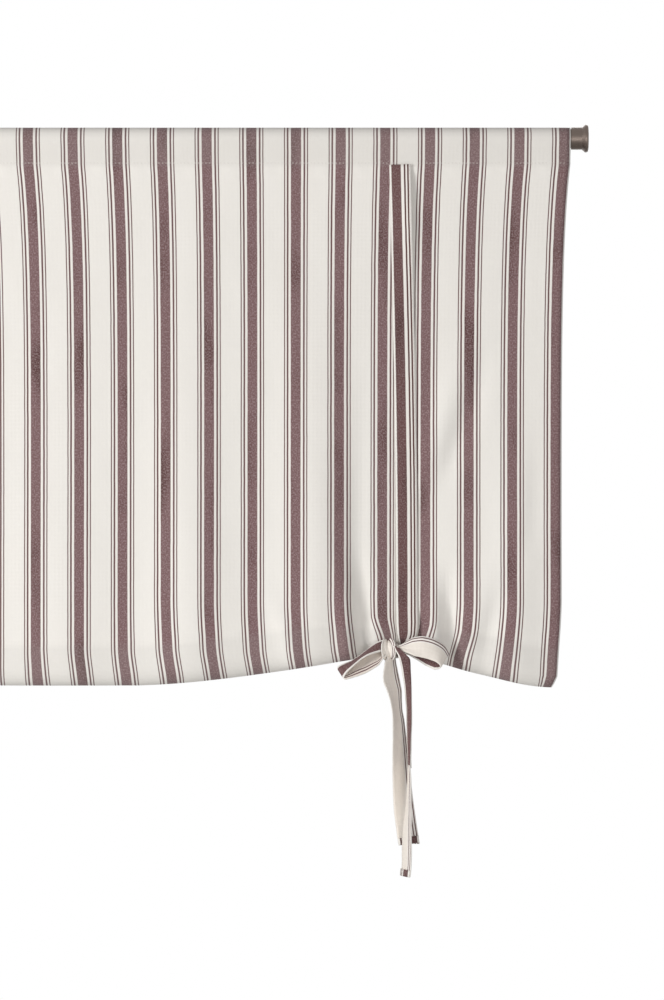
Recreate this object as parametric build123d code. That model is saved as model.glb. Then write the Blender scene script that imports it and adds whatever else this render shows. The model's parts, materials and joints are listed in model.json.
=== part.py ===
"""Roll-up curtain: cloth hung on a rod by its pocket, rolled up from below and held by two bows.

Millimetres. The origin lies on the rod's axis at mid-width.
+X runs along the rod, +Z is up and -Y is the room.
"""

import os
from math import ceil, cos, exp, hypot, pi, radians, sin, sqrt

from build123d import *

# Rod
rod_diameter = 20.0
rod_wall = 1.0
rod_end_gap = 0.2  # from the rod's end to the bottom of the cap's socket

# End cap
cap_diameter = 23.0  # of the sleeve
cap_flange_diameter = 28.6
cap_length = 17.4
cap_crown_length = 3.4  # of the flange past its slope
cap_socket_depth = 12.2
cap_socket_clearance = 0.05  # radial, a push fit on the rod
cap_rim_radius = 1.9
cap_rim_flats = 2  # flats that make up the flange's rounded outer edge
cap_flare = 3.1  # length of the slope from the sleeve up to the flange
cap_gap = 1.2  # from the cloth's side edge to the cap

# Cloth panel
panel_width = 1200.0
panel_drop = 559.0  # from the rod's axis to the lowest edge
cloth = 0.8
pocket_clearance = 0.3  # radial, round the rod
pocket_depth = 24.4  # from the rod's axis to the pocket's inside corner
seam_overlap = 0.6  # how far the hanging sheet runs up into the pocket's corner
wave_length = 132.0
wave_height = 7.0  # soft folds of the sheet, crest to hollow, at the bottom

# Roll at the bottom
roll_height = 42.0
roll_depth = 38.0
roll_setback = 3.0  # how far the roll's middle lies behind the rod's axis
roll_crease_angle = 150.0  # where the roll's top turn meets the sheet
roll_flats = 11  # round the roll, from the sheet's front to that crease
turn_pitch = 3.8
turn_gap = 0.9
turn_mouth = 9.0  # how deep the gaps between the turns stand open at the sides
turn_count = 2.5
turn_steps = 10  # flats for each turn

# Gather at each bow
arch_inset = 176.0  # from the panel's side edge to the top of the arch
arch_lift = 31.0
arch_inner_reach = 255.0
arch_outer_reach = 152.0
arch_round = 15.0
arch_power = 1.4
squeeze_share = 0.4  # of the roll's size, lost where the bow ties it
squeeze_reach = 55.0
bulge_height = 9.0  # folds that stand out on both sides of a tie
bulge_offset = 38.0
bulge_reach = 22.0
calm_reach = 66.0  # the soft folds die out this close to a tie

# The panel's sections
wave_stations = 3  # for each soft fold
gather_shares = (-1.0, -0.5, 0.0, 0.5, 1.0)  # of the bulges' offset, at each tie

# Ties
tie_width = 22.0
tie_thickness = 1.2
band_step = 24.0  # between the cuts that a tie is lofted through
tie_clearance = 0.9  # from a tie to the cloth that it lies on
width_shares = (-1.0, -0.5, 0.0, 0.5, 1.0)  # of a tie's half width, where the cloth behind it is measured
tie_inset = 174.0  # from the panel's side edge to the tie's middle, at the seam
tie_drift = 6.5  # how far the front tie leans outwards on its way down
front_strip_share = 0.93  # of the way from the seam to the knot, that the front tie lies on the cloth
front_lift_share = 0.45  # of the step out to the knot, taken halfway from there
strip_rows = 14

# Knot
knot_inset = 186.0  # from the panel's side edge to the knot's middle
knot_drop = 522.0
knot_width = 12.5
knot_height = 19.5
knot_depth = 16.0
knot_wall = 1.6
knot_clearance = 0.4  # between the wrap and what it holds
core_inner_reach = 4.5  # how far the bundle shows past the wrap, on the inner side
core_outer_reach = 9.5
oval_flats = 14  # round the bundle and its wrap

# Bow loops: half an outline, in shares of (reach, spread), from the knot to the tip
loop_half_shares = ((0.08, 0.28), (0.3, 0.7), (0.6, 1.0), (0.86, 0.94), (0.97, 0.58))
loop_flats = 14
neck_width = 8.0
neck_share = 0.55  # of a loop's reach, over which the band opens to its full width
inner_loop_reach = 54.0
inner_loop_spread = 9.0
inner_loop_run_shares = (-0.86, -0.3, -0.42)
inner_loop_across_shares = (0.38, -0.64, -0.67)
outer_loop_reach = 56.0
outer_loop_spread = 9.0
outer_loop_run_shares = (0.95, -0.25, -0.16)
outer_loop_across_shares = (-0.25, -0.2, -0.95)
# Tails: rows of shares of (sway, out, length, width) and the turn of the band about its length, in degrees
tail_sway = 20.0
tail_out = 12.0
front_tail_length = 232.0
front_tail_shares = (
    (0.55, 0.00, 0.013, 0.36, 80),
    (0.70, 0.15, 0.072, 0.70, 78),
    (0.86, 0.35, 0.183, 1.00, 77),
    (0.98, 0.55, 0.315, 1.00, 80),
    (1.04, 0.75, 0.448, 1.00, 84),
    (1.01, 0.90, 0.558, 1.00, 90),
    (0.88, 1.00, 0.711, 1.00, 100),
    (0.83, 1.00, 0.845, 1.00, 110),
    (0.80, 1.00, 1.000, 1.00, 115),
)
back_tail_length = 200.0
back_tail_shares = (
    (0.00, 0.20, 0.045, 0.45, -45),
    (-0.02, 0.20, 0.080, 0.70, -48),
    (-0.12, 0.10, 0.160, 1.00, -48),
    (0.04, 0.00, 0.263, 1.00, -50),
    (0.26, -0.10, 0.340, 1.00, -56),
    (0.40, -0.20, 0.417, 1.00, -60),
    (0.47, -0.30, 0.570, 1.00, -58),
    (0.60, -0.30, 0.725, 1.00, -45),
    (0.70, -0.30, 0.878, 1.00, -25),
    (1.05, -0.30, 1.000, 1.00, -5),
)
underpass_angles = (0, -30, -60, -90)

# Places that follow from the sizes above
rod_radius = rod_diameter / 2
pocket_radius = rod_radius + pocket_clearance
pocket_slope_share = pocket_radius / pocket_depth  # sine of the half angle at the pocket's corner
seam_drop = pocket_depth + cloth / pocket_slope_share
sheet_top = seam_overlap - seam_drop
arch_place = panel_width / 2 - arch_inset
cap_start = panel_width / 2 + cap_gap
rod_length = 2 * (cap_start + cap_socket_depth - rod_end_gap)


def across_rod(x, outline):
    """Set a flat outline, drawn in (y, z), square to the rod at x."""
    return Plane((x, 0, 0), x_dir=(0, 1, 0), z_dir=(1, 0, 0)) * outline


def mix(low, high, share):
    """A value that share of the way from low to high."""
    return low + (high - low) * share


class Section:
    """Sizes of the panel's upright cut at x."""

    def __init__(self, x):
        away = abs(x) - arch_place
        reach = arch_outer_reach if away > 0 else arch_inner_reach
        fall = (hypot(away, arch_round) - arch_round) / reach
        size = 1 - squeeze_share * exp(-((away / squeeze_reach) ** 2))
        calm = 1 - exp(-((away / calm_reach) ** 2))
        bulges = sum(exp(-(((away - side * bulge_offset) / bulge_reach) ** 2)) for side in (-1, 1))
        self.x = x
        self.half_height = roll_height / 2 * size
        self.half_depth = roll_depth / 2 * size
        wave = calm * wave_height / 2 * cos(2 * pi * x / wave_length)
        self.y_roll = roll_setback + wave - bulge_height * bulges
        self.z_low = arch_lift * max(0, 1 - fall) ** arch_power - panel_drop
        self.z_roll = self.z_low + self.half_height
        self.y_front = self.y_roll - self.half_depth
        self.y_back = self.y_roll + self.half_depth

    def front(self, share):
        """(y, z) on the sheet's front, share 0 at the seam and 1 at the roll."""
        return self.front_poles(share)[-1]

    def front_poles(self, share):
        """Poles of the sheet's front from the seam down to that share, upright at seam and roll."""
        z_step = (self.z_roll - sheet_top) / 3
        poles = [(-cloth / 2, sheet_top), (-cloth / 2, sheet_top + z_step)]
        poles += [(self.y_front, self.z_roll - z_step), (self.y_front, self.z_roll)]
        cut = [poles[0]]
        while len(poles) > 1:
            poles = [(mix(a[0], b[0], share), mix(a[1], b[1], share)) for a, b in zip(poles, poles[1:])]
            cut.append(poles[0])
        return cut

    def front_at(self, z):
        """y on the sheet's front at height z."""
        share = (sheet_top - z) / (sheet_top - self.z_roll)
        return self.front(min(1, max(0, share)))[0]

    def on_roll(self, angle, size_share):
        """(y, z) at an angle round the roll, on an outline of that share of its size."""
        turn = radians(angle)
        return (
            self.y_roll + self.half_depth * size_share * cos(turn),
            self.z_roll + self.half_height * size_share * sin(turn),
        )

    def face(self):
        """The cut through sheet and roll."""
        fronts = self.front_poles(1)
        z_crease = self.on_roll(roll_crease_angle, 1)[1]
        share = (sheet_top - z_crease) / (sheet_top - self.z_roll)
        backs = [(y + cloth, z) for y, z in reversed(self.front_poles(share))]
        turn = 180 + roll_crease_angle
        round_roll = [self.on_roll(180 + turn * k / roll_flats, 1) for k in range(roll_flats + 1)]
        roll = Polyline(*round_roll, backs[0])
        top = Line(backs[-1], fronts[0])
        return across_rod(self.x, make_face([Bezier(*fronts), roll, Bezier(*backs), top]))


def stations():
    """Places along the width for the panel's sections: even, but set by the gather near each tie."""
    count = 2 * ceil(panel_width / wave_length * wave_stations / 2)
    evens = [panel_width * (k / count - 1 / 2) for k in range(count + 1)]
    places = [x for x in evens if abs(abs(x) - arch_place) > calm_reach]
    for side in (-1, 1):
        places += [side * (arch_place + share * bulge_offset) for share in gather_shares]
    return sorted(places)


def drop_outline(radius):
    """A taut cloth loop of that radius over the rod, with its corner below."""
    corner = (0, -radius / pocket_slope_share)
    low = -radius * pocket_slope_share
    wide = sqrt(radius**2 - low**2)
    over = ThreePointArc((-wide, low), (0, radius), (wide, low))
    return make_face([over, Line((wide, low), corner), Line(corner, (-wide, low))])


def turn_gaps(side):
    """The spiral gap between the roll's turns, open at one side edge of the panel."""
    end = Section(side * panel_width / 2)
    outer = []
    inner = []
    for k in range(ceil(turn_count * turn_steps) + 1):
        angle = roll_crease_angle + 360 * k / turn_steps
        share = 1 - (turn_pitch / 2 + turn_pitch * k / turn_steps) / end.half_depth
        outer.append(end.on_roll(angle, share))
        inner.append(end.on_roll(angle, share - turn_gap / end.half_depth))
    gap = make_face(Polyline(*outer, *inner[::-1], close=True))
    return extrude(across_rod(end.x, gap), turn_mouth, dir=(-side, 0, 0))


def curtain_panel():
    """Pocket, hanging sheet and roll, one sewn cloth."""
    sheet = loft([Section(x).face() for x in stations()], ruled=True)
    ring = drop_outline(pocket_radius + cloth) - drop_outline(pocket_radius)
    pocket = extrude(across_rod(-panel_width / 2, ring), panel_width)
    return sheet + pocket - turn_gaps(-1) - turn_gaps(1)


def curtain_rod():
    """The tube."""
    ring = Circle(rod_radius) - Circle(rod_radius - rod_wall)
    return extrude(across_rod(-rod_length / 2, ring), rod_length)


def rounded_corner(start, corner, end, flats):
    """Points of a right-angled corner, rounded in flats from start to end."""
    middle = [a + b - c for a, b, c in zip(start, end, corner)]
    points = []
    for k in range(flats + 1):
        turn = pi / 2 * k / flats
        spans = zip(middle, start, end)
        points.append(tuple(m + (a - m) * cos(turn) + (b - m) * sin(turn) for m, a, b in spans))
    return points


def right_end_cap():
    """Flanged cap with a blind socket, turned about the rod's axis."""
    sleeve = cap_diameter / 2
    flange = cap_flange_diameter / 2
    socket = rod_radius + cap_socket_clearance
    end = cap_start + cap_length
    crown = end - cap_crown_length
    bottom = cap_start + cap_socket_depth
    rim = cap_rim_radius
    edge = rounded_corner((end - rim, flange), (end, flange), (end, flange - rim), cap_rim_flats)
    outside = [(cap_start, sleeve), (crown - cap_flare, sleeve), (crown, flange), *edge]
    inside = [(end, 0), (bottom, 0), (bottom, socket), (cap_start, socket)]
    profile = make_face(Polyline(*outside, *inside, close=True))
    return revolve(profile, Axis.X)


def band(rows):
    """A cloth band lofted along a smooth run through (place, across, width) rows."""
    places = [Vector(*row[0]) for row in rows]
    runs = [0]
    for before, after in zip(places, places[1:]):
        runs.append(runs[-1] + (after - before).length)
    path = Spline(places)
    cuts = []
    for i, (start, end) in enumerate(zip(runs, runs[1:])):
        steps = ceil((end - start) / band_step)
        last = i == len(rows) - 2
        for k in range(steps + last):
            share = k / steps
            across = Vector(*rows[i][1]) * (1 - share) + Vector(*rows[i + 1][1]) * share
            width = mix(rows[i][2], rows[i + 1][2], share)
            along = mix(start, end, share) / runs[-1]
            plane = Plane(path @ along, x_dir=across, z_dir=path % along)
            cuts.append(plane * Rectangle(width, tie_thickness))
    return loft(cuts, ruled=True)


def flat_strip(curve):
    """A strip of the tie's thickness along a flat curve, in straight flats."""
    outer = []
    inner = []
    for k in range(loop_flats + 1):
        place = curve @ (k / loop_flats)
        ahead = curve % (k / loop_flats)
        aside = Vector(-ahead.Y, ahead.X) * (tie_thickness / 2)
        outer.append(place + aside)
        inner.append(place - aside)
    return make_face(Polyline(*outer, *inner[::-1], close=True))


def oval(half_depth, half_height):
    """An upright oval in straight flats, drawn in (y, z)."""
    turns = [2 * pi * k / oval_flats for k in range(oval_flats)]
    return make_face(Polyline(*[(half_depth * cos(t), half_height * sin(t)) for t in turns], close=True))


class Knot:
    """Places of the right bow's knot."""

    def __init__(self):
        self.x = panel_width / 2 - knot_inset
        self.z = -knot_drop
        cuts = [Section(self.x + side * tie_width / 2) for side in (-1, 0, 1)]
        self.y = min(cut.y_front for cut in cuts) - tie_clearance - knot_depth / 2
        self.y_under = max(cut.y_back for cut in cuts) + tie_clearance + tie_thickness / 2
        self.z_under = min(cut.z_low for cut in cuts) - tie_clearance - tie_thickness / 2
        self.core_x = self.x + knot_width / 2 + core_outer_reach / 2

    def loop(self, start, run, across, reach, spread):
        """A bow loop that leaves the knot at start: its outline drawn out to the band's width."""
        halves = [(a * reach, b * spread / 2) for a, b in loop_half_shares]
        outline = Spline(halves + [(reach, 0)] + [(u, -v) for u, v in reversed(halves)])
        flat = Plane(start, x_dir=run, z_dir=across)
        strand = extrude(flat * flat_strip(outline), tie_width / 2, both=True)
        open_place = neck_share * reach
        half = tie_width / 2 + tie_thickness
        upper = [(0, neck_width / 2), (open_place, half), (reach + tie_width, half)]
        neck = make_face(Polyline(*upper, *[(u, -v) for u, v in reversed(upper)], close=True))
        side = Plane(start, x_dir=flat.x_dir, z_dir=flat.y_dir)
        return strand & extrude(side * neck, tie_width, both=True)

    def tail(self, shares, length):
        """A hanging end that turns about its length as it falls."""
        return band(
            [
                (
                    (self.x + a * tail_sway, self.y - b * tail_out, self.z - c * length),
                    (cos(radians(turn)), -sin(radians(turn)), 0),
                    w * tie_width,
                )
                for a, b, c, w, turn in shares
            ]
        )


def sheet_faces(x, z):
    """y of the sheet's foremost front and rearmost back over a tie's width at x, at height z."""
    fronts = [Section(x + side * tie_width / 2).front_at(z) for side in width_shares]
    return min(fronts), max(fronts) + cloth


def right_front_tie():
    """Band down the front, the bundle inside the knot, the inner loop and one tail."""
    knot = Knot()
    x_top = panel_width / 2 - tie_inset
    z_free = mix(-seam_drop, knot.z, front_strip_share)
    rows = []
    for k in range(strip_rows + 1):
        share = k / strip_rows
        x = x_top + tie_drift * sin(share * pi / 2)
        z = mix(-seam_drop, z_free, share)
        y = sheet_faces(x, z)[0] - tie_clearance - tie_thickness / 2
        rows.append(((x, y, z), (1, 0, 0), tie_width))
    neck = core_outer_reach - 2 * knot_clearance
    halfway = (mix(x, knot.core_x, 1 / 2), mix(y, knot.y, front_lift_share), mix(z_free, knot.z, 1 / 2))
    rows.append((halfway, (1, 0, 0), mix(tie_width, neck, 1 / 2)))
    rows.append(((knot.core_x, knot.y, knot.z), (1, 0, 0), neck))
    inset = knot_wall + knot_clearance
    bundle = oval(knot_depth / 2 - inset, knot_height / 2 - inset)
    core = extrude(
        Plane((knot.x - knot_width / 2 - core_inner_reach, knot.y, knot.z), x_dir=(0, 1, 0), z_dir=(1, 0, 0))
        * bundle,
        knot_width + core_inner_reach + core_outer_reach,
    )
    start = (knot.x - knot_width / 2, knot.y, knot.z)
    loop = knot.loop(
        start, inner_loop_run_shares, inner_loop_across_shares, inner_loop_reach, inner_loop_spread
    )
    return band(rows) + core + loop + knot.tail(front_tail_shares, front_tail_length)


def right_back_tie():
    """Band down the back and under the roll, the wrap of the knot, the outer loop and the other tail."""
    knot = Knot()
    x_top = panel_width / 2 - tie_inset
    under = Section(knot.x)
    rows = []
    for k in range(strip_rows):
        share = k / strip_rows
        x = x_top + share * (knot.x - x_top)
        z = share * (under.z_roll + seam_drop) - seam_drop
        y = sheet_faces(x, z)[1] + tie_clearance + tie_thickness / 2
        rows.append(((x, max(y, share * knot.y_under), z), (1, 0, 0), tie_width))
    for angle in underpass_angles:
        y = under.y_roll + (knot.y_under - under.y_roll) * cos(radians(angle))
        z = under.z_roll + (under.z_roll - knot.z_under) * sin(radians(angle))
        rows.append(((knot.x, y, z), (1, 0, 0), tie_width))
    z_wrap = knot.z - knot_height / 2 + knot_wall / 2
    rows.append(((knot.x, (under.y_roll + knot.y) / 2, min(z_wrap, knot.z_under)), (1, 0, 0), knot_width))
    rows.append(((knot.x, knot.y, z_wrap), (1, 0, 0), knot_width - 2 * knot_wall))
    wrap = oval(knot_depth / 2, knot_height / 2)
    wrap -= oval(knot_depth / 2 - knot_wall, knot_height / 2 - knot_wall)
    ring = extrude(
        Plane((knot.x - knot_width / 2, knot.y, knot.z), x_dir=(0, 1, 0), z_dir=(1, 0, 0)) * wrap, knot_width
    )
    start = (knot.x, knot.y - knot_depth / 2, knot.z)
    loop = knot.loop(
        start, outer_loop_run_shares, outer_loop_across_shares, outer_loop_reach, outer_loop_spread
    )
    return band(rows) + ring + loop + knot.tail(back_tail_shares, back_tail_length)


def main():
    """Build each piece and write it to its own file."""
    right = {
        "end_cap": right_end_cap(),
        "front_tie": right_front_tie(),
        "back_tie": right_back_tie(),
    }
    pieces = {"curtain_rod": curtain_rod(), "curtain_panel": curtain_panel()}
    for name, solid in right.items():
        pieces["right_" + name] = solid
        pieces["left_" + name] = mirror(solid, about=Plane.YZ)
    os.makedirs("parts", exist_ok=True)
    for name, solid in pieces.items():
        export_step(solid, os.path.join("parts", name + ".step"))


main()
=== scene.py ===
"""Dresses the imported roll-up curtain: striped cloth, tied bows, stitching, metal caps and a plain studio."""

import json
import logging
import math
from dataclasses import dataclass, replace
from enum import Enum

import bpy
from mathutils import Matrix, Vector, noise

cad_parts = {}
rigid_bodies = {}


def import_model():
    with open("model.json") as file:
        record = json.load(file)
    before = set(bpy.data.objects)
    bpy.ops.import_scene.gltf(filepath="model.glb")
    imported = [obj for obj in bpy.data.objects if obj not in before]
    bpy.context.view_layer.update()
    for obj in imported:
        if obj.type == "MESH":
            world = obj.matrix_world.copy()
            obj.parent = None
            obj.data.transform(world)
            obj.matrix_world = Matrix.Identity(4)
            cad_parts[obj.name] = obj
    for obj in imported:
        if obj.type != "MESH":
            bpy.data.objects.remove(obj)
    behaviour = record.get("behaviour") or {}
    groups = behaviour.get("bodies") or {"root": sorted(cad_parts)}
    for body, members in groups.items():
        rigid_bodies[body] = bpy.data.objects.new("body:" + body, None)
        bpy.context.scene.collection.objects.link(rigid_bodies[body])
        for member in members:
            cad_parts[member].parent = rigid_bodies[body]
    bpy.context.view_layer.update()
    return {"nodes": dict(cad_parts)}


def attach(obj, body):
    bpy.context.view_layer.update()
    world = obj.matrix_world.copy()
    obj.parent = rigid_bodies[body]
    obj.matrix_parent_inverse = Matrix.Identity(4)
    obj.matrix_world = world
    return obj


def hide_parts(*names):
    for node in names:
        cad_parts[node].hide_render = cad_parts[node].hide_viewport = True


Colour = tuple[float, float, float]
Place = tuple[float, float, float]
Socket = bpy.types.NodeSocket

LOG = logging.getLogger("curtain")
MM = 0.001
PIXEL = 1.0235  # millimetres for a pixel of the photograph
PIXEL_MIDDLE = -16.2  # the curtain's middle, in pixels across
PIXEL_ROD = 138.5  # the rod's axis, in pixels down
FREE_FOLDS_ABOVE = 630.0  # a fold that starts above this row fades out at both ends


class Side(Enum):
    """The two bows: the right one as shown, and its mirror."""

    RIGHT = 1
    LEFT = -1

    @property
    def label(self) -> str:
        """The word that starts the names of this side's nodes."""
        return self.name.lower()


def smooth(share: float) -> float:
    """Ease from 0 to 1.

    Args:
        share: how far along, also outside 0 to 1.
    Returns:
        The eased share.
    """
    share = min(1.0, max(0.0, share))
    return share * share * (3 - 2 * share)


def mix(low: float, high: float, share: float) -> float:
    """Blend two numbers.

    Args:
        low: value at share 0.
        high: value at share 1.
        share: how far along.
    Returns:
        The value between them.
    """
    return low + (high - low) * share


def bell(off: float) -> float:
    """A bell curve: 1 at 0, about a third at 1 and nearly nothing past 2, on both sides."""
    return math.exp(-off * off)


@dataclass(frozen=True)
class Ramp:
    """An eased step: 0 up to its start, and 1 from its reach past that."""

    start: float
    reach: float

    def at(self, value: float) -> float:
        """How far the step has risen."""
        return smooth((value - self.start) / self.reach)


def across_px(pixel: float) -> float:
    """Millimetres from the curtain's middle for a pixel column."""
    return (pixel - PIXEL_MIDDLE) * PIXEL


def height_px(pixel: float) -> float:
    """Millimetres above the rod's axis for a pixel row."""
    return (PIXEL_ROD - pixel) * PIXEL


@dataclass(frozen=True)
class Grain:
    """A noise: its grains for each metre, its scale along the three axes, and its number of octaves."""

    scale: float
    axes: Place = (1.0, 1.0, 1.0)
    detail: float = 2.0


class NodeTree:
    """Short hand for building a material's nodes."""

    def __init__(self, name: str) -> None:
        """Start a material with a Principled shader.

        Args:
            name: the material's name.
        """
        self.material = bpy.data.materials.new(name)
        self.material.use_nodes = True
        self.tree = self.material.node_tree
        self.shader = self.tree.nodes["Principled BSDF"]

    def add(self, kind: str, **settings: object) -> bpy.types.Node:
        """Add a node.

        Args:
            kind: the node's Blender type.
            settings: its properties.
        Returns:
            The node.
        """
        node = self.tree.nodes.new(kind)
        for key, value in settings.items():
            setattr(node, key, value)
        return node

    def link(self, source: Socket, target: Socket) -> None:
        """Join two sockets."""
        self.tree.links.new(source, target)

    def math(self, operation: str, first: object, second: object = None, clamp: bool = False) -> Socket:
        """Add a Math node.

        Args:
            operation: what it does.
            first: a socket or a number.
            second: a socket or a number.
            clamp: whether the result is kept from 0 to 1.
        Returns:
            Its output.
        """
        node = self.add("ShaderNodeMath", operation=operation, use_clamp=clamp)
        for socket, value in zip(node.inputs, (first, second)):
            if isinstance(value, Socket):
                self.link(value, socket)
            elif value is not None:
                socket.default_value = value
        return node.outputs[0]

    def band(self, place: Socket, centre: float, half: float, soft: float) -> Socket:
        """A stripe's mask.

        Args:
            place: distance across the cloth.
            centre: the stripe's middle.
            half: half of its width.
            soft: how far its edge blurs.
        Returns:
            1 on the stripe and 0 off it.
        """
        off = self.math("ABSOLUTE", self.math("SUBTRACT", place, centre))
        return self.math("MULTIPLY", self.math("SUBTRACT", half, off), 1 / soft, clamp=True)

    def blend(self, share: Socket, low: object, high: object) -> Socket:
        """Mix two colours.

        Args:
            share: how much of the second.
            low: first colour, or its socket.
            high: second colour, or its socket.
        Returns:
            The mixed colour.
        """
        node = self.add("ShaderNodeMix", data_type="RGBA")
        self.link(share, node.inputs["Factor"])
        for socket, value in ((node.inputs[6], low), (node.inputs[7], high)):
            if isinstance(value, Socket):
                self.link(value, socket)
            else:
                socket.default_value = (*value, 1)
        return node.outputs[2]

    def noise(self, grain: Grain, where: Socket) -> Socket:
        """Add a noise.

        Args:
            grain: what it is.
            where: the vector that it is read at.
        Returns:
            Its grey value.
        """
        axes = self.add("ShaderNodeMapping")
        self.link(where, axes.inputs["Vector"])
        axes.inputs["Scale"].default_value = grain.axes
        node = self.add("ShaderNodeTexNoise")
        node.inputs["Scale"].default_value = grain.scale
        node.inputs["Detail"].default_value = grain.detail
        self.link(axes.outputs[0], node.inputs["Vector"])
        return node.outputs[0]

    def above(self, value: Socket, level: float, gain: float) -> Socket:
        """How far a value is above a level.

        Args:
            value: the value.
            level: where the result leaves 0.
            gain: how fast it then rises to 1.
        Returns:
            From 0 to 1.
        """
        return self.math("MULTIPLY", self.math("SUBTRACT", value, level), gain, clamp=True)

    def raise_bump(self, height: Socket, strength: float, distance: float) -> None:
        """Add a bump to the shader.

        Args:
            height: what stands out.
            strength: how much of it shows.
            distance: its height in metres.
        """
        bump = self.add("ShaderNodeBump")
        bump.inputs["Strength"].default_value = strength
        bump.inputs["Distance"].default_value = distance
        self.link(height, bump.inputs["Height"])
        self.link(bump.outputs[0], self.shader.inputs["Normal"])


def shaded(colour: Colour, share: float | Colour) -> Colour:
    """A darker or brighter form of a colour.

    Args:
        colour: linear red, green and blue.
        share: what stays of it, for all three or for each.
    Returns:
        The new colour.
    """
    shares = share if isinstance(share, tuple) else (share,) * 3
    return tuple(c * f for c, f in zip(colour, shares))


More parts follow.
